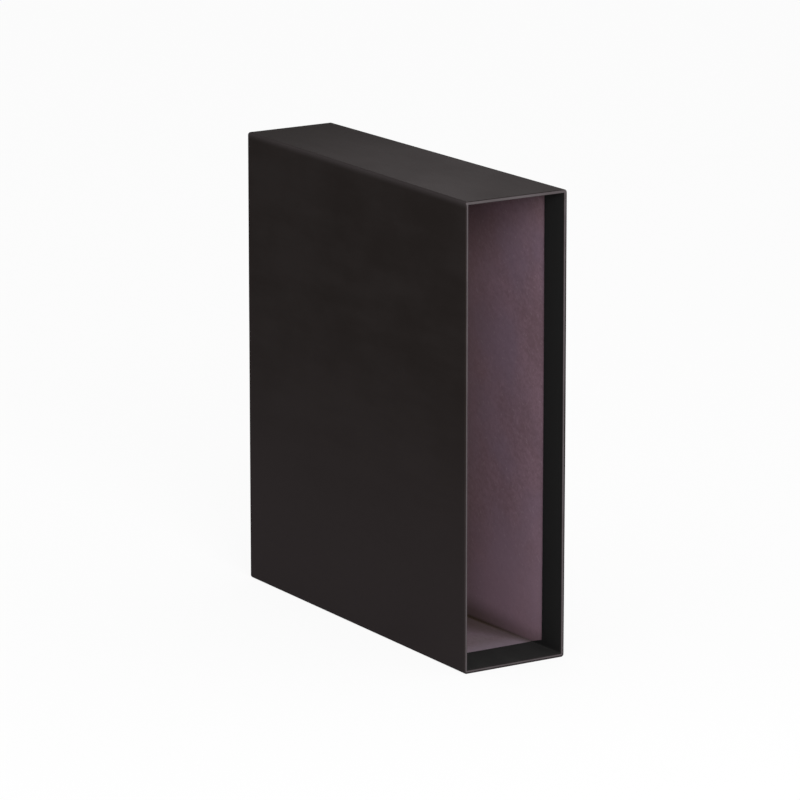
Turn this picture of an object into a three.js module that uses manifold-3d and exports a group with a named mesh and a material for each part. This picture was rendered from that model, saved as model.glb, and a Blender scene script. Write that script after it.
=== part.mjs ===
// A slipcase for a ring or lever-arch binder, standing upright on its bottom.
// X runs across the mouth, Y from the mouth (low Y) to the back, Z up. Millimetres.
// The origin is at the middle of the bottom face.

import * as THREE from 'three';
import { mergeVertices } from 'three/addons/utils/BufferGeometryUtils.js';
import Module from 'manifold-3d';

// Driving dimensions
const WIDTH = 81; // outside, across the mouth
const BACK_WIDTH = 70; // outside, across the back: a ring binder is thinner at its fore edge
const DEPTH = 290; // outside, from the mouth to the back
const HEIGHT = 325; // outside, from the floor to the top
const BOARD_THICKNESS = 2; // the board that is folded into the case
const PAPER_THICKNESS = 0.2; // the paper that covers the board
const SIDE_TURN_IN = 22; // how far the paper reaches in on the sides, from the mouth's edge
const BOTTOM_TURN_IN = 36; // the same on the bottom and the top
const CORNER_LAP = 4.5; // how high the bottom's paper laps the sides, cut slanting
const FOLD_RADIUS = 2; // outside radius of the case's folded edges
const RIM_RADIUS = 0.5; // radius of the paper over the cut edges at the mouth
const STEPS_PER_QUARTER = 6; // straight steps in each rounded quarter turn
const OVERSHOOT = 5; // how far a cutting shape runs past what it cuts

const PAPER_COLOR = 0x2a2625;
const PAPER_ROUGHNESS = 0.55;
const BOARD_COLOR = 0x6b575f;
const BOARD_ROUGHNESS = 0.95;

// Derived sizes
const WALL = BOARD_THICKNESS + PAPER_THICKNESS; // board and the paper outside it
const RIM_WALL = WALL + PAPER_THICKNESS; // the same with the turned-in paper
const FOLD = Math.min(FOLD_RADIUS, WALL); // a fold's radius stays within its wall
const RIM = Math.min(RIM_RADIUS, RIM_WALL / 2);
const FRONT = -DEPTH / 2;

const wasm = await Module();
wasm.setup();

// Makes a solid of a closed geometry.
function solidOf(geometry) {
  const bare = geometry.clone();
  bare.deleteAttribute('normal');
  bare.deleteAttribute('uv');
  const merged = mergeVertices(bare);
  return new wasm.Manifold(new wasm.Mesh({
    numProp: 3,
    vertProperties: merged.attributes.position.array,
    triVerts: new Uint32Array(merged.index.array),
  }));
}

// Makes a geometry of a solid, for a mesh.
function geometryOf(solid) {
  const mesh = solid.getMesh();
  const geometry = new THREE.BufferGeometry();
  geometry.setAttribute('position', new THREE.BufferAttribute(mesh.vertProperties, 3));
  geometry.setIndex(new THREE.BufferAttribute(mesh.triVerts, 1));
  geometry.computeVertexNormals();
  return geometry;
}

// A rectangle from (u0, v0) to (u1, v1) whose corners have the radii
// low u low v, high u low v, high u high v, low u high v.
function roundedRectangle(u0, v0, u1, v1, radii) {
  const corners = [
    [u0, v0, 1, 1, Math.PI],
    [u1, v0, -1, 1, 1.5 * Math.PI],
    [u1, v1, -1, -1, 0],
    [u0, v1, 1, -1, 0.5 * Math.PI],
  ];
  const shape = new THREE.Shape();
  corners.forEach(([u, v, inU, inV, start], i) => {
    const radius = radii[i];
    if (radius <= 0) {
      if (i === 0) shape.moveTo(u, v);
      else shape.lineTo(u, v);
      return;
    }
    shape.absarc(u + inU * radius, v + inV * radius, radius, start, start + 0.5 * Math.PI, false);
  });
  shape.closePath();
  return shape;
}

// Extrudes a shape, drawn in two of the axes, along the third from low to high.
function prism(shape, uAxis, vAxis, low, high) {
  const geometry = new THREE.ExtrudeGeometry(shape, {
    depth: high - low,
    bevelEnabled: false,
    curveSegments: STEPS_PER_QUARTER / 2, // an arc takes two steps for each segment
  });
  const along = uAxis.clone().cross(vAxis);
  const place = new THREE.Matrix4().makeBasis(uAxis, vAxis, along);
  geometry.translate(0, 0, low);
  geometry.applyMatrix4(place);
  return solidOf(geometry);
}

const X = new THREE.Vector3(1, 0, 0);
const Y = new THREE.Vector3(0, 1, 0);
const Z = new THREE.Vector3(0, 0, 1);

// A section in Y and Z, extruded across the case in X.
function acrossX(shape, low, high) {
  return prism(shape, Y, Z, low, high);
}

// A section in X and Y, extruded upwards.
function alongZ(shape, low, high) {
  return prism(shape, X, Y, low, high);
}

// A section in Z and X, extruded from front to back.
function alongY(shape, low, high) {
  return prism(shape, Z, X, low, high);
}

// The case's outer form as a full block, inset all round, with its folds and rim rounded.
function block(inset) {
  const fold = Math.max(FOLD - inset, 0);
  const rim = Math.max(RIM - inset, 0);
  const x = WIDTH / 2 - inset;
  const front = FRONT + inset;
  const back = -FRONT - inset;
  const low = inset;
  const high = HEIGHT - inset;
  const plan = roundedRectangle(-x, front, x, back, [rim, rim, fold, fold]);
  const side = roundedRectangle(front, low, back, high, [rim, fold, fold, rim]);
  const face = roundedRectangle(low, -x, high, x, [fold, fold, fold, fold]);
  return alongZ(plan, low - OVERSHOOT, high + OVERSHOOT)
    .intersect(acrossX(side, -x - OVERSHOOT, x + OVERSHOOT))
    .intersect(alongY(face, front - OVERSHOOT, back + OVERSHOOT));
}

// The five panels round the space for the binder: two sides, the bottom, the top and
// the back, with an outside inset and an inside depth from the case's outer faces.
// Their edges at the mouth are rounded inside and outside.
function openCase(outside, inside) {
  const rim = Math.max(RIM - outside, 0);
  const x = WIDTH / 2;
  const front = FRONT + outside;
  const back = -FRONT + OVERSHOOT;
  const rounded = [rim, rim, 0, 0];
  const roundedUp = [rim, 0, 0, rim];
  const left = roundedRectangle(-x + outside, front, -x + inside, back, rounded);
  const right = roundedRectangle(x - inside, front, x - outside, back, rounded);
  const bottom = roundedRectangle(front, outside, back, inside, roundedUp);
  const top = roundedRectangle(front, HEIGHT - inside, back, HEIGHT - outside, roundedUp);
  const rear = roundedRectangle(-x, -FRONT - inside, x, back, [0, 0, 0, 0]);
  return alongZ(left, -OVERSHOOT, HEIGHT + OVERSHOOT)
    .add(alongZ(right, -OVERSHOOT, HEIGHT + OVERSHOOT))
    .add(acrossX(bottom, -x - OVERSHOOT, x + OVERSHOOT))
    .add(acrossX(top, -x - OVERSHOOT, x + OVERSHOOT))
    .add(alongZ(rear, -OVERSHOOT, HEIGHT + OVERSHOOT))
    .intersect(block(outside));
}

// The space inside the case behind the turned-in paper, down to the bare board.
// Seen from the side, its front corners slant where the paper laps the sides.
function bareSpace() {
  const x = WIDTH / 2 - WALL;
  const back = -FRONT - WALL;
  const lapped = new THREE.Shape([
    new THREE.Vector2(FRONT + BOTTOM_TURN_IN, RIM_WALL),
    new THREE.Vector2(back, RIM_WALL),
    new THREE.Vector2(back, HEIGHT - RIM_WALL),
    new THREE.Vector2(FRONT + BOTTOM_TURN_IN, HEIGHT - RIM_WALL),
    new THREE.Vector2(FRONT + SIDE_TURN_IN, HEIGHT - RIM_WALL - CORNER_LAP),
    new THREE.Vector2(FRONT + SIDE_TURN_IN, RIM_WALL + CORNER_LAP),
  ]);
  const full = roundedRectangle(FRONT + BOTTOM_TURN_IN, WALL, back, HEIGHT - WALL, [0, 0, 0, 0]);
  return acrossX(lapped, -x, x).add(acrossX(full, -x, x));
}

// Leans the sides in toward the back, from behind the rim's rounding. All of a solid's
// corners lie at its sides, so the bottom, the top and the back stay flat.
function leanIn(corner) {
  const behindRim = Math.max(corner[1] - FRONT - RIM, 0);
  const inward = 0.5 * (WIDTH - BACK_WIDTH) * behindRim / (DEPTH - RIM);
  corner[0] -= Math.sign(corner[0]) * inward;
}

// The board, folded into five panels, with the mouth open.
const straightBoard = openCase(PAPER_THICKNESS, WALL);
const board = straightBoard.warp(leanIn);

// The covering paper: over the five panels, round the mouth's edges and turned in.
const paper = openCase(0, RIM_WALL)
  .subtract(bareSpace())
  .subtract(straightBoard)
  .warp(leanIn);

const boardCase = new THREE.Mesh(
  geometryOf(board),
  new THREE.MeshStandardMaterial({ color: BOARD_COLOR, roughness: BOARD_ROUGHNESS, metalness: 0 }),
);
boardCase.name = 'board_case';

const coverPaper = new THREE.Mesh(
  geometryOf(paper),
  new THREE.MeshStandardMaterial({ color: PAPER_COLOR, roughness: PAPER_ROUGHNESS, metalness: 0 }),
);
coverPaper.name = 'cover_paper';

const slipcase = new THREE.Group();
slipcase.add(boardCase, coverPaper);

export default slipcase;
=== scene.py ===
"""The looks of a binder slipcase: folded board, bare inside, under dark covering paper."""
import math

import bmesh
import bpy
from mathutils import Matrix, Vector, noise


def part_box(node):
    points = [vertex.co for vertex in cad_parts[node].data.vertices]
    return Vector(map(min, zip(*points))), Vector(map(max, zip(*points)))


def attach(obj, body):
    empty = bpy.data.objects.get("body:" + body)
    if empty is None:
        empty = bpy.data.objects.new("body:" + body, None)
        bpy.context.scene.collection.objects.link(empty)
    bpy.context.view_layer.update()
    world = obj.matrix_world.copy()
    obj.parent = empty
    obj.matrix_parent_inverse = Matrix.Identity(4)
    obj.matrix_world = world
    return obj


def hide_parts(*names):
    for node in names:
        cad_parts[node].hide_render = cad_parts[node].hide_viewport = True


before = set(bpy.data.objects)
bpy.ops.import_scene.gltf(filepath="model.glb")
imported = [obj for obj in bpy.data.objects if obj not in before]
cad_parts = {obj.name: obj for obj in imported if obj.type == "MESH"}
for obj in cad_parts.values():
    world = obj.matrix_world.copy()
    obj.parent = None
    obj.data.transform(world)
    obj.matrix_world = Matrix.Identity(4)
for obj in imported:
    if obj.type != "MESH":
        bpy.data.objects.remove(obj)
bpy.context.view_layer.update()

# Sizes of the case, in metres
MM = 0.001
paper_low, paper_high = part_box("cover_paper")
board_low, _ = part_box("board_case")
HALF_WIDTH = paper_high.x
BACK_HALF_WIDTH = 35 * MM
HEIGHT = paper_high.z
FRONT = paper_low.y
BACK = paper_high.y
PAPER = board_low.z - paper_low.z
BOARD = 2 * MM
WALL = BOARD + PAPER  # the board and the paper outside it
RIM_WALL = WALL + PAPER  # the same with the turned-in paper
SIDE_TURN_IN = 22 * MM
BOTTOM_TURN_IN = 36 * MM
CORNER_LAP = 4.5 * MM
FOLD_RADIUS = 2 * MM
RIM_RADIUS = 0.5 * MM
CREASE_RADIUS = 0.35 * MM
CLOSING_STRIP = 0.2 * MM  # half the flat part of the strip that closes the back face
LEAN = (HALF_WIDTH - BACK_HALF_WIDTH) / (BACK - FRONT - RIM_RADIUS)  # of each side, inward

# Fineness of the meshes
CELL = 9 * MM
ARC_STEPS = 6

# How far the panels are from flat
BOW = 0.25 * MM
BACK_STIFFNESS = 0.6  # how much of the bow is lost toward the back
RIPPLE = 0.07 * MM
RIPPLE_LENGTH = 70 * MM

# Colours, linear
PAPER_DARK = (0.0137, 0.0109, 0.0101)
PAPER_LIGHT = (0.0178, 0.0146, 0.0139)
# painted bounce light, for the paper low on the case
PAPER_PAINTED_BOUNCE = (0.0228, 0.0186, 0.0190)
# painted light: the turned-in paper, lighter than outside, in the shade of the mouth
PAPER_INSIDE_PAINTED_LIGHT = (0.0158, 0.0157, 0.0157)
# pale grey: wear on the folds, and painted highlights on the top folds and the mouth's edge
PAPER_WEAR_AND_HIGHLIGHT = (0.092, 0.080, 0.084)
PAPER_SHEEN = (1.0, 0.89, 0.92, 1.0)
BOARD_DARK = (0.180, 0.112, 0.134)
BOARD_LIGHT = (0.252, 0.160, 0.204)
BOARD_COOL = (0.205, 0.146, 0.200)
BOARD_DEEP_SHADE = (0.170, 0.106, 0.102)
BOARD_SHADE = (0.128, 0.080, 0.074)
BOARD_PAINTED_BOUNCE = (0.275, 0.178, 0.222)
# dark brown: specks in the board, and painted shade in its creases
BOARD_SPECKS_AND_CREASE_SHADE = (0.050, 0.032, 0.022)
BOARD_FLECK = (0.340, 0.250, 0.300)
# pale grey: dust on the board's bottom, and painted light on the turned-in paper's bottom
PALE_DUST_AND_PAINTED_LIGHT = (0.150, 0.148, 0.142)
BOARD_PAINTED_LIGHT = (0.300, 0.245, 0.300)
FLOOR_COLOR = (0.86, 0.86, 0.86)
WHITE = (1, 1, 1, 1)

# Fades of the paper's looks. Each runs from its first number to its second, and gives an
# amount from nought to one, or from its third number to its fourth.
PAPER_TONES = (0.35, 0.65)
TOWARD_FOOT = (0.75 * HEIGHT, 0.0)
OUTER_FACE = (1.6 * MM, 1.1 * MM)
# painted highlight along the top folds
TOP_FOLD_HIGHLIGHT = (5 * MM, 0.0, 0.0, 0.24)
FOLD_WIDTH = (1.0 * MM, 0.2 * MM)
FOLD_WEAR = (0.45, 0.75, 0.0, 0.25)
INNER_FACE = (1.8 * MM, 2.2 * MM)
INNER_START = (0.3 * MM, 0.6 * MM)
INNER_END = (BOTTOM_TURN_IN + 4 * MM, BOTTOM_TURN_IN + MM)
PAPER_BOTTOM_PAINTED_LIGHT = (RIM_WALL + 2 * MM, RIM_WALL, 0.0, 0.08)
PAPER_BOTTOM_STREAKS = (0.3, 0.7, 0.8, 1.2)
LINE_START_BELOW_TOP = (1 * MM, 3 * MM, 0.2 * MM, 0.75 * MM)
LINE_START_OVER_BOTTOM = (3 * MM, 1 * MM, 0.0, 0.3 * MM)
LINE_OUTER_EDGE = (0.0, 0.35 * MM)
LINE_INNER_EDGE = (2.25 * MM, 1.9 * MM)
LINE_BEHIND_RIM = (0.4 * MM, 0.1 * MM)
LINE_WEAR_AND_HIGHLIGHT = (0.3, 0.7, 0.70, 0.86)
PAPER_ROUGHNESS = (0.3, 0.7, 0.54, 0.58)

# The paper's other numbers
PAPER_TONE_WEIGHTS = (0.6, 0.4)  # of the clouds and the streaks
TOP_FOLD_HIGHLIGHT_NARROWER = 1.7  # how much narrower the painted highlight along the top folds is on the top than below it
GRAIN_ROUGHNESS = 0.08
FIBRE_HEIGHT = 0.8
PAPER_BUMP_STRENGTH = 0.12
PAPER_BUMP_DEPTH = 0.05 * MM
PAPER_SPECULAR = 0.0075

# Fades of the board's looks
BOARD_TONES = (0.36, 0.64)
COOL_PATCHES = (0.4, 0.65, 0.0, 0.6)
SPECKS = (0.68, 0.76, 0.0, 0.35)
FLECKS = (0.60, 0.74, 0.0, 0.4)
DEEP_INSIDE = (60 * MM, 140 * MM, 0.0, 0.6)
ON_BOTTOM = (WALL + 2 * MM, WALL + 0.5 * MM)
OVER_BOTTOM = (WALL + 0.5 * MM, WALL + 2 * MM)
DUST_DEPTH = (130 * MM, 40 * MM, 0.2, 0.5)
DUST_PATCHES = (0.3, 0.7, 0.7, 1.1)
NEAR_MOUTH = (120 * MM, 80 * MM)
NEAR_FOOT = (120 * MM, 20 * MM, 0.0, 0.6)
TOP_SHADE_WIDTH = (30 * MM, 100 * MM, 45 * MM, 95 * MM)
TOP_SHADE = (1.0, 0.1, 0.0, 0.38)
PAINTED_LIGHT_BY_PAPER = (58 * MM, 38 * MM, 0.0, 0.4)
ON_FLAT = (WALL + 1.5 * MM, WALL + 0.5 * MM)
SIDE_CREASE_WIDTH = (20 * MM, 110 * MM, 13 * MM, 19 * MM)
FLAT_CREASE_WIDTH = (32 * MM, 120 * MM, 6 * MM, 50 * MM)
CREASE_SHADE = (1.0, 0.15, 0.0, 0.68)
CREASE_LINE = (3 * MM, 0.0, 0.0, 0.35)
SHADE_DEEPER = (20 * MM, 110 * MM, 0.55, 1.0)
SHADE_AT_BACK = (120 * MM, 190 * MM, 1.0, 0.45)
PAPER_EDGE_SHADOW = (0.9 * MM, 0.2 * MM, 0.0, 0.5)

# The board's other numbers
BOARD_TONE_WEIGHTS = (0.3, 0.25, 0.45)  # of the clouds, the slanting fibres and the pulp
SLANT_HEIGHT = 0.7
BOARD_BUMP_STRENGTH = 0.35
BOARD_BUMP_DEPTH = 0.12 * MM
BOARD_ROUGHNESS = 0.92
BOARD_SPECULAR = 0.15

# Floor and world
FLOOR_WHITENING = 0.9
FLOOR_HALF_SIZE = 30.0
FLOOR_GAP = 0.1 * MM
WORLD_STRENGTH = 0.75

# Lamps, in watts, metres and degrees
KEY_POWER = 40.5
KEY_SIZE = 1.2
KEY_PLACE = Vector((-0.65, -2.1, 1.04))
KEY_TARGET = Vector((0, 0, 0.15))
SPOT_POWER = 19.0
SPOT_ANGLE = 45.0
SPOT_BLEND = 0.076
SPOT_COLOR = (1.0, 0.90, 0.93)
SPOT_RADIUS = 0.04
SPOT_PLACE = Vector((1.144, 1.70, 0.846))
SPOT_TARGET = Vector((0, 0.06, 1.108))

# The photograph's view
CAMERA_AZIMUTH = -32.49
CAMERA_ELEVATION = 13.57
CAMERA_DISTANCE = 3.862
CAMERA_TARGET = Vector((0.0004, 0, 0.1557))
CAMERA_FOCAL_PIXELS = 5571.3
CAMERA_CLIP_END = 100
PHOTO_PIXELS = 800
SENSOR_WIDTH = 36


def put(name, data):
    """Puts a new object in the scene."""
    thing = bpy.data.objects.new(name, data)
    bpy.context.scene.collection.objects.link(thing)
    return thing


# Shapes

def warp(point):
    """Moves a point a little, so that the panels are as flat as real covered board."""
    along = (point.y - FRONT) / (BACK - FRONT)
    up = point.z / HEIGHT
    middle = math.sin(math.pi * min(max(up, 0), 1))
    freedom = 1 - BACK_STIFFNESS * min(max(along, 0), 1)
    side = point.x / HALF_WIDTH
    bow = BOW * side * middle * freedom
    ripple = RIPPLE * side * middle * noise.noise(point / RIPPLE_LENGTH)
    return point + Vector((bow + ripple, 0, 0))


def arc(centre, radius, start, end):
    """Points of an arc in a plane, from one angle to another, in degrees."""
    angles = [math.radians(start + (end - start) * i / ARC_STEPS) for i in range(ARC_STEPS + 1)]
    return [(centre[0] + radius * math.cos(a), centre[1] + radius * math.sin(a)) for a in angles]


def spread(low, high, count):
    """Evenly spaced values between two ends, without the ends."""
    return [low + (high - low) * i / count for i in range(1, count)]


def half_width(y):
    """Half the case's outside width at a depth: it narrows evenly behind the rim."""
    return HALF_WIDTH - LEAN * max(y - FRONT - RIM_RADIUS, 0)


def ring(inset, y, flat_y=None):
    """A loop round the case, an inset in from its outer faces, at one depth on its sides
    and if asked at another on its bottom and top, with a slant up the sides' corners."""
    flat_y = y if flat_y is None else flat_y
    radius = max(FOLD_RADIUS - inset, CREASE_RADIUS)
    x = half_width(flat_y) - inset
    inward = half_width(flat_y) - half_width(y)
    low = inset
    high = HEIGHT - inset
    wide = max(1, round(2 * HALF_WIDTH / CELL))
    tall = max(1, round(HEIGHT / CELL))
    bends = [
        arc((x - radius, low + radius), radius, -90, 0),
        arc((x - radius, high - radius), radius, 0, 90),
        arc((-x + radius, high - radius), radius, 90, 180),
        arc((-x + radius, low + radius), radius, 180, 270),
    ]
    points = []
    for i, bend in enumerate(bends):
        points += [Vector((px, flat_y, pz)) for px, pz in bend]
        last_x, last_z = bend[-1]
        next_x, next_z = bends[(i + 1) % len(bends)][0]
        across = i % 2 == 1
        if across:
            points += [Vector((px, flat_y, last_z)) for px in spread(last_x, next_x, wide)]
        else:
            turn = 1 if next_z > last_z else -1
            lap = turn * max(RIM_WALL + CORNER_LAP - inset - radius, CREASE_RADIUS)
            start = last_z + lap
            end = next_z - lap
            px = last_x - math.copysign(inward, last_x)
            points += [Vector((px, y, pz)) for pz in [start, *spread(start, end, tall), end]]
    return points


def rim_path(skin):
    """Inset and depth round the mouth's edge, from outside to inside, under a skin's thickness."""
    radius = RIM_RADIUS - skin
    outside = skin
    inside = RIM_WALL - skin
    edge = FRONT + skin + radius
    return (arc((outside + radius, edge), radius, 180, 270)
            + arc((inside - radius, edge), radius, 270, 360))


def fold_path(skin):
    """Inset and depth round the back fold, from the back face to the outside."""
    radius = FOLD_RADIUS - skin
    return arc((skin + radius, BACK - skin - radius), radius, 90, 180)


def back_path(skin):
    """Inset and depth across the back face, from its middle to the fold."""
    middle = BACK_HALF_WIDTH - CREASE_RADIUS - CLOSING_STRIP
    count = max(1, round(BACK_HALF_WIDTH / CELL))
    return [(inset, BACK - skin) for inset in [middle, *spread(middle, FOLD_RADIUS, count)]]


def run(inset, start, end):
    """Inset and depth along a straight stretch, in even steps, without the ends."""
    count = max(1, round(abs(end - start) / CELL))
    return [(inset, y) for y in spread(start, end, count)]


def turned_in(inset):
    """Inset and depths from the mouth's edge to the ends of the turned-in paper."""
    start = FRONT + RIM_RADIUS
    count = max(1, round(BOTTOM_TURN_IN / CELL))
    sides = spread(start, FRONT + SIDE_TURN_IN, count) + [FRONT + SIDE_TURN_IN]
    flats = spread(start, FRONT + BOTTOM_TURN_IN, count) + [FRONT + BOTTOM_TURN_IN]
    return [(inset, y, flat_y) for y, flat_y in zip(sides, flats)]


def loft(name, path, material):
    """A closed mesh through the rings of a path. Its first and last rings are filled."""
    mesh = bmesh.new()
    loops = [[mesh.verts.new(warp(p)) for p in ring(*stop)] for stop in path]
    for before, after in zip(loops, loops[1:]):
        count = len(before)
        for i in range(count):
            j = (i + 1) % count
            mesh.faces.new((before[i], before[j], after[j], after[i]))
    mesh.faces.new(loops[0])
    mesh.faces.new(loops[-1][::-1])
    bmesh.ops.recalc_face_normals(mesh, faces=mesh.faces)
    for face in mesh.faces:
        face.smooth = True
    data = bpy.data.meshes.new(name)
    mesh.to_mesh(data)
    mesh.free()
    data.materials.append(material)
    piece = put(name, data)
    normals = piece.modifiers.new("normals", "WEIGHTED_NORMAL")
    normals.keep_sharp = True
    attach(piece, "root")
    return piece


def make_cover(material):
    """The paper over the outside, round the mouth's edges and turned in."""
    outside = back_path(0) + fold_path(0)
    outside += run(0, BACK - FOLD_RADIUS, FRONT + RIM_RADIUS)
    outside += rim_path(0)
    outside += turned_in(RIM_WALL)
    under = turned_in(WALL)[::-1] + rim_path(PAPER)[::-1]
    under += run(PAPER, FRONT + RIM_RADIUS, BACK - FOLD_RADIUS)
    under += fold_path(PAPER)[::-1] + back_path(PAPER)[::-1]
    return loft("covering_paper", outside + under, material)


def make_board(material):
    """The board under the paper, with its bare inner faces."""
    inner_back = BACK - WALL
    outside = back_path(PAPER) + fold_path(PAPER)
    outside += run(PAPER, BACK - FOLD_RADIUS, FRONT + RIM_RADIUS)
    outside += rim_path(PAPER)
    inside = run(WALL, FRONT + RIM_RADIUS, inner_back - CREASE_RADIUS)
    inside += arc((WALL + CREASE_RADIUS, inner_back - CREASE_RADIUS), CREASE_RADIUS, 180, 90)
    inside += [(inset, y) for inset, y in back_path(WALL)[::-1] if inset > WALL + CREASE_RADIUS]
    return loft("folded_board", outside + inside, material)


# Materials

class Nodes:
    """Makes the nodes of a material or a world, and joins them."""

    def __init__(self, owner):
        self.owner = owner
        owner.use_nodes = True
        self.tree = owner.node_tree
        self.tree.nodes.clear()

    def add(self, kind, settings=None, **inputs):
        """Adds a node, sets its settings, and sets or joins its inputs by name."""
        node = self.tree.nodes.new(kind)
        for key, value in (settings or {}).items():
            setattr(node, key, value)
        for key, value in inputs.items():
            self.set(node, key.replace("_", " "), value)
        return node

    def set(self, node, key, value):
        """Sets one input to a value, or joins it to another node's output."""
        socket = node.inputs[key]
        if isinstance(value, bpy.types.NodeSocket):
            self.tree.links.new(value, socket)
        else:
            socket.default_value = value

    def math(self, operation, *values):
        """One step of arithmetic on numbers."""
        node = self.add("ShaderNodeMath", {"operation": operation})
        for i, value in enumerate(values):
            self.set(node, i, value)
        return node.outputs[0]

    def plus(self, value, *others):
        """The sum of two or more numbers."""
        for other in others:
            value = self.math("ADD", value, other)
        return value

    def minus(self, value, other):
        """One number less another."""
        return self.math("SUBTRACT", value, other)

    def times(self, value, *others):
        """The product of two or more numbers."""
        for other in others:
            value = self.math("MULTIPLY", value, other)
        return value

    def least(self, value, other):
        """The smaller of two numbers."""
        return self.math("MINIMUM", value, other)

    def most(self, value, other):
        """The larger of two numbers."""
        return self.math("MAXIMUM", value, other)

    def weigh(self, values, weights):
        """The sum of numbers, each times its weight."""
        return self.plus(*[self.times(value, weight) for value, weight in zip(values, weights)])

    def fade(self, value, span):
        """A smooth step over a span: its start and end, and the amounts there if given."""
        start, end, *amounts = span
        low, high = amounts or (0.0, 1.0)
        node = self.add("ShaderNodeMapRange", {"interpolation_type": "SMOOTHSTEP"})
        for i, number in enumerate((value, start, end, low, high)):
            self.set(node, i, number)
        return node.outputs[0]

    def noise(self, vector, scale, detail, roughness, stretch=None, turn=(0, 0, 0)):
        """Noise with a number of features for each metre. If stretched, it may be turned too."""
        if stretch:
            mapping = self.add("ShaderNodeMapping", {"vector_type": "TEXTURE"}, Vector=vector,
                               Rotation=turn, Scale=stretch)
            vector = mapping.outputs[0]
        node = self.add("ShaderNodeTexNoise", Vector=vector, Scale=scale, Detail=detail,
                        Roughness=roughness)
        return node.outputs[0]

    def mix(self, factor, low, high):
        """A colour between two."""
        node = self.add("ShaderNodeMix", {"data_type": "RGBA"})
        self.set(node, 0, factor)
        self.set(node, 6, low if isinstance(low, bpy.types.NodeSocket) else (*low, 1))
        self.set(node, 7, high if isinstance(high, bpy.types.NodeSocket) else (*high, 1))
        return node.outputs[2]

    def mix_shaders(self, factor, low, high):
        """A shader between two."""
        node = self.add("ShaderNodeMixShader")
        for i, value in enumerate((factor, low, high)):
            self.set(node, i, value)
        return node.outputs[0]

    def position(self):
        """The point on the object, and its three coordinates."""
        point = self.add("ShaderNodeTexCoord").outputs["Object"]
        split = self.add("ShaderNodeSeparateXYZ", Vector=point)
        return point, split.outputs[0], split.outputs[1], split.outputs[2]

    def seen(self):
        """One for what the camera sees, also mirrored or through glass, otherwise nought."""
        path = self.add("ShaderNodeLightPath")
        seen = self.most(path.outputs["Is Camera Ray"], path.outputs["Is Glossy Ray"])
        return self.most(seen, path.outputs["Is Transmission Ray"])

    def finish(self, shader, output="ShaderNodeOutputMaterial"):
        """Joins the shader to the output, and gives back the material or world."""
        self.add(output, Surface=shader)
        return self.owner


def middle_of_three(n, a, b, c):
    """The middle one of three numbers."""
    return n.most(n.least(a, b), n.least(n.most(a, b), c))


def distance_to_faces(n, x, y, z):
    """How far a point lies in from the case's sides, and from its bottom or top."""
    behind_rim = n.most(n.minus(y, FRONT + RIM_RADIUS), 0.0)
    half = n.minus(HALF_WIDTH, n.times(behind_rim, LEAN))
    side = n.minus(half, n.math("ABSOLUTE", x))
    flat = n.least(z, n.minus(HEIGHT, z))
    return side, flat


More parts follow.
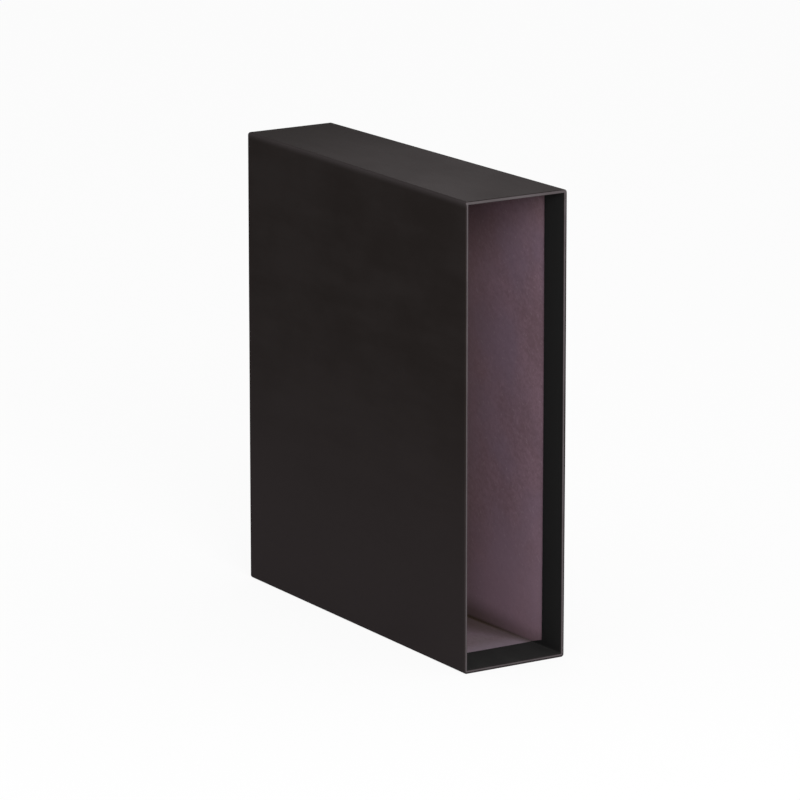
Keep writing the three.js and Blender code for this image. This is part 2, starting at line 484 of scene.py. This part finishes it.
def paper_material():
    """Black covering paper: fine grain, faint clouding, pale where it is worn at edges, with
    painted highlights along the top folds and the mouth's edge, and painted light inside and low
    down.
    """
    n = Nodes(bpy.data.materials.new("covering_paper"))
    point, x, y, z = n.position()
    side, flat = distance_to_faces(n, x, y, z)
    behind = n.minus(BACK, y)
    inset = n.least(side, flat)
    rim = n.minus(y, FRONT)
    below_top = n.minus(HEIGHT, z)

    # Clouds, and paler toward the foot: painted bounce light from the floor
    clouds = n.noise(point, scale=14.0, detail=4.0, roughness=0.55)
    streaks = n.noise(point, scale=60.0, detail=3.0, roughness=0.6, stretch=(1, 5, 1))
    tone = n.weigh((clouds, streaks), PAPER_TONE_WEIGHTS)
    color = n.mix(n.fade(tone, PAPER_TONES), PAPER_DARK, PAPER_LIGHT)
    color = n.mix(n.fade(z, TOWARD_FOOT), color, PAPER_PAINTED_BOUNCE)

    # A painted highlight, pale along the top folds
    upright = n.least(side, behind)
    outside = n.fade(n.least(upright, below_top), OUTER_FACE)
    from_top_fold = n.most(below_top, n.times(upright, TOP_FOLD_HIGHLIGHT_NARROWER))
    top_fold_highlight = n.times(outside, n.fade(from_top_fold, TOP_FOLD_HIGHLIGHT))
    color = n.mix(top_fold_highlight, color, PAPER_WEAR_AND_HIGHLIGHT)

    # Painted light on the turned-in paper, lighter and greyer than outside, and paler still on its
    # bottom face, with streaks
    inner = n.times(n.fade(inset, INNER_FACE), n.fade(rim, INNER_START), n.fade(rim, INNER_END))
    color = n.mix(inner, color, PAPER_INSIDE_PAINTED_LIGHT)
    # painted light, paler on the bottom of the turned-in paper, where it faces up
    grey_bottom = n.times(inner, n.fade(z, PAPER_BOTTOM_PAINTED_LIGHT), n.fade(streaks, PAPER_BOTTOM_STREAKS))
    color = n.mix(grey_bottom, color, PALE_DUST_AND_PAINTED_LIGHT)

    # Worn patches on the folds, and a pale line round the mouth's edge, partly wear and partly a
    # painted highlight
    fold = middle_of_three(n, side, flat, behind)
    worn_fold = n.times(n.fade(fold, FOLD_WIDTH), n.fade(streaks, FOLD_WEAR))
    start = n.plus(n.fade(below_top, LINE_START_BELOW_TOP), n.fade(z, LINE_START_OVER_BOTTOM))
    line = n.fade(n.minus(inset, start), LINE_OUTER_EDGE)
    line = n.times(line, n.fade(inset, LINE_INNER_EDGE), n.fade(rim, LINE_BEHIND_RIM))
    rim_wear_and_highlight = n.times(line, n.fade(streaks, LINE_WEAR_AND_HIGHLIGHT))
    color = n.mix(n.most(worn_fold, rim_wear_and_highlight), color, PAPER_WEAR_AND_HIGHLIGHT)

    # Grain and fibres
    grain = n.noise(point, scale=1500.0, detail=2.0, roughness=0.6)
    fibres = n.noise(point, scale=500.0, detail=2.0, roughness=0.5, stretch=(1, 1, 4),
                     turn=(0.5, 0.3, 0))
    rough = n.plus(n.fade(clouds, PAPER_ROUGHNESS), n.times(grain, GRAIN_ROUGHNESS))
    height = n.plus(grain, n.times(fibres, FIBRE_HEIGHT))
    bump = n.add("ShaderNodeBump", Strength=PAPER_BUMP_STRENGTH, Distance=PAPER_BUMP_DEPTH,
                 Height=height)
    shader = n.add("ShaderNodeBsdfPrincipled", Base_Color=color, Roughness=rough,
                   Normal=bump.outputs[0], Specular_IOR_Level=PAPER_SPECULAR,
                   Specular_Tint=PAPER_SHEEN)
    return n.finish(shader.outputs[0])


def board_material():
    """Bare board: mauve-grey pulp with faint slanting fibres and specks, and painted shade and
    light inside.
    """
    n = Nodes(bpy.data.materials.new("bare_board"))
    point, x, y, z = n.position()
    side, flat = distance_to_faces(n, x, y, z)
    behind = n.minus(BACK, y)
    depth = n.minus(y, FRONT)
    on_bottom = n.fade(z, ON_BOTTOM)

    # Pulp, fibres, dark specks and pale flecks
    clouds = n.noise(point, scale=22.0, detail=5.0, roughness=0.6)
    cool = n.noise(point, scale=16.0, detail=3.0, roughness=0.5)
    slant = n.noise(point, scale=300.0, detail=3.0, roughness=0.55, stretch=(1, 2.5, 1),
                    turn=(0.6, 0, 0))
    pulp = n.noise(point, scale=420.0, detail=4.0, roughness=0.7)
    specks = n.noise(point, scale=1600.0, detail=1.0, roughness=0.5)
    flecks = n.noise(point, scale=620.0, detail=2.0, roughness=0.5, stretch=(1, 1, 2),
                     turn=(-0.7, 0, 0))
    tone = n.weigh((clouds, slant, pulp), BOARD_TONE_WEIGHTS)
    color = n.mix(n.fade(tone, BOARD_TONES), BOARD_DARK, BOARD_LIGHT)
    color = n.mix(n.fade(cool, COOL_PATCHES), color, BOARD_COOL)
    color = n.mix(n.fade(specks, SPECKS), color, BOARD_SPECKS_AND_CREASE_SHADE)
    color = n.mix(n.fade(flecks, FLECKS), color, BOARD_FLECK)

    # Painted shade, darker and browner deep inside, and dust on the bottom, most of all near the
    # mouth
    # painted shade deep inside the case
    color = n.mix(n.fade(depth, DEEP_INSIDE), color, BOARD_DEEP_SHADE)
    grey_bottom = n.times(on_bottom, n.fade(depth, DUST_DEPTH), n.fade(clouds, DUST_PATCHES))
    color = n.mix(grey_bottom, color, PALE_DUST_AND_PAINTED_LIGHT)

    # Painted bounce light, lighter low on the walls near the mouth; painted shade, darker under
    # the top;
    # and painted light, paler on the bottom along the turned-in paper
    # painted bounce light low on the walls
    painted_bounce = n.times(n.fade(depth, NEAR_MOUTH), n.fade(z, OVER_BOTTOM), n.fade(z, NEAR_FOOT))
    color = n.mix(painted_bounce, color, BOARD_PAINTED_BOUNCE)
    # painted shade under the top
    from_top = n.math("DIVIDE", n.minus(HEIGHT - WALL, z), n.fade(depth, TOP_SHADE_WIDTH))
    color = n.mix(n.fade(from_top, TOP_SHADE), color, BOARD_SHADE)
    # painted light, paler on the bottom near the mouth
    color = n.mix(n.times(on_bottom, n.fade(depth, PAINTED_LIGHT_BY_PAPER)), color, BOARD_PAINTED_LIGHT)

    # Painted shade in the creases where the panels meet, which changes in width and strength with
    # depth, and a painted shadow line along the edge of the turned-in paper on the sides
    side_width = n.fade(depth, SIDE_CREASE_WIDTH)
    flat_width = n.fade(depth, FLAT_CREASE_WIDTH)
    wider = n.times(n.fade(flat, ON_FLAT), n.minus(flat_width, side_width))
    crease = n.minus(middle_of_three(n, side, flat, behind), WALL)
    from_crease = n.math("DIVIDE", crease, n.plus(side_width, wider))
    shade = n.plus(n.fade(from_crease, CREASE_SHADE), n.fade(crease, CREASE_LINE))
    shade = n.times(shade, n.fade(depth, SHADE_DEEPER), n.fade(depth, SHADE_AT_BACK))
    # painted shadow along the edge of the turned-in paper
    shade = n.most(shade, n.fade(n.minus(depth, SIDE_TURN_IN), PAPER_EDGE_SHADOW))
    # painted shade in the creases, and a painted shadow along the paper's edge
    color = n.mix(shade, color, BOARD_SPECKS_AND_CREASE_SHADE)

    height = n.plus(pulp, n.times(slant, SLANT_HEIGHT))
    bump = n.add("ShaderNodeBump", Strength=BOARD_BUMP_STRENGTH, Distance=BOARD_BUMP_DEPTH,
                 Height=height)
    shader = n.add("ShaderNodeBsdfPrincipled", Base_Color=color, Normal=bump.outputs[0],
                   Roughness=BOARD_ROUGHNESS, Specular_IOR_Level=BOARD_SPECULAR)
    return n.finish(shader.outputs[0])


def floor_material():
    """A pale floor that the camera sees as white, with the object's soft shadow. From
    below it is open, so that the object's underside can be seen."""
    n = Nodes(bpy.data.materials.new("floor"))
    diffuse = n.add("ShaderNodeBsdfDiffuse", Color=(*FLOOR_COLOR, 1)).outputs[0]
    white = n.add("ShaderNodeEmission", Color=WHITE, Strength=1.0).outputs[0]
    surface = n.mix_shaders(n.times(n.seen(), FLOOR_WHITENING), diffuse, white)
    below = n.add("ShaderNodeNewGeometry").outputs["Backfacing"]
    clear = n.add("ShaderNodeBsdfTransparent").outputs[0]
    return n.finish(n.mix_shaders(below, surface, clear))


# Floor, world, lamps and camera

def aim(thing, place, target):
    """Puts a lamp or camera at a place, facing a point."""
    thing.location = place
    thing.rotation_mode = "QUATERNION"
    thing.rotation_quaternion = (target - thing.location).to_track_quat("-Z", "Y")


def make_floor():
    """A wide floor just under the case."""
    mesh = bpy.data.meshes.new("floor")
    s = FLOOR_HALF_SIZE
    z = -FLOOR_GAP
    mesh.from_pydata([(-s, -s, z), (s, -s, z), (s, s, z), (-s, s, z)], [], [(0, 1, 2, 3)])
    mesh.materials.append(floor_material())
    floor = put("floor", mesh)


def make_world():
    """Even light all round, which the camera and reflections see as white."""
    n = Nodes(bpy.data.worlds.new("studio"))
    strength = n.fade(n.seen(), (0.0, 1.0, WORLD_STRENGTH, 1.0))
    light = n.add("ShaderNodeBackground", Color=WHITE, Strength=strength)
    bpy.context.scene.world = n.finish(light.outputs[0], "ShaderNodeOutputWorld")


def make_key_light():
    """A wide soft lamp in front, high on the left."""
    lamp = bpy.data.lights.new("key", "AREA")
    lamp.shape = "DISK"
    lamp.size = KEY_SIZE
    lamp.energy = KEY_POWER
    key = put("key", lamp)
    key.visible_camera = False
    aim(key, KEY_PLACE, KEY_TARGET)


def make_top_light():
    """A lamp behind, whose cone ends across the top: lighter in front, darker behind."""
    lamp = bpy.data.lights.new("top_light", "SPOT")
    lamp.shadow_soft_size = SPOT_RADIUS
    lamp.spot_size = math.radians(SPOT_ANGLE)
    lamp.spot_blend = SPOT_BLEND
    lamp.color = SPOT_COLOR
    lamp.energy = SPOT_POWER
    top_light = put("top_light", lamp)
    top_light.visible_camera = False
    aim(top_light, SPOT_PLACE, SPOT_TARGET)


def make_camera():
    """The camera at the photograph's viewing angle."""
    data = bpy.data.cameras.new("camera")
    data.sensor_width = SENSOR_WIDTH
    data.lens = CAMERA_FOCAL_PIXELS * SENSOR_WIDTH / PHOTO_PIXELS
    data.clip_end = CAMERA_CLIP_END
    camera = put("camera", data)
    azimuth = math.radians(CAMERA_AZIMUTH)
    elevation = math.radians(CAMERA_ELEVATION)
    back = Vector((
        math.sin(azimuth) * math.cos(elevation),
        -math.cos(azimuth) * math.cos(elevation),
        math.sin(elevation),
    ))
    aim(camera, CAMERA_TARGET + back * CAMERA_DISTANCE, CAMERA_TARGET)
    bpy.context.scene.camera = camera


cover = make_cover(paper_material())
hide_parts("cover_paper")
board = make_board(board_material())
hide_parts("board_case")
make_floor()
make_world()
make_key_light()
make_top_light()
make_camera()
bpy.context.scene.view_settings.view_transform = "Standard"
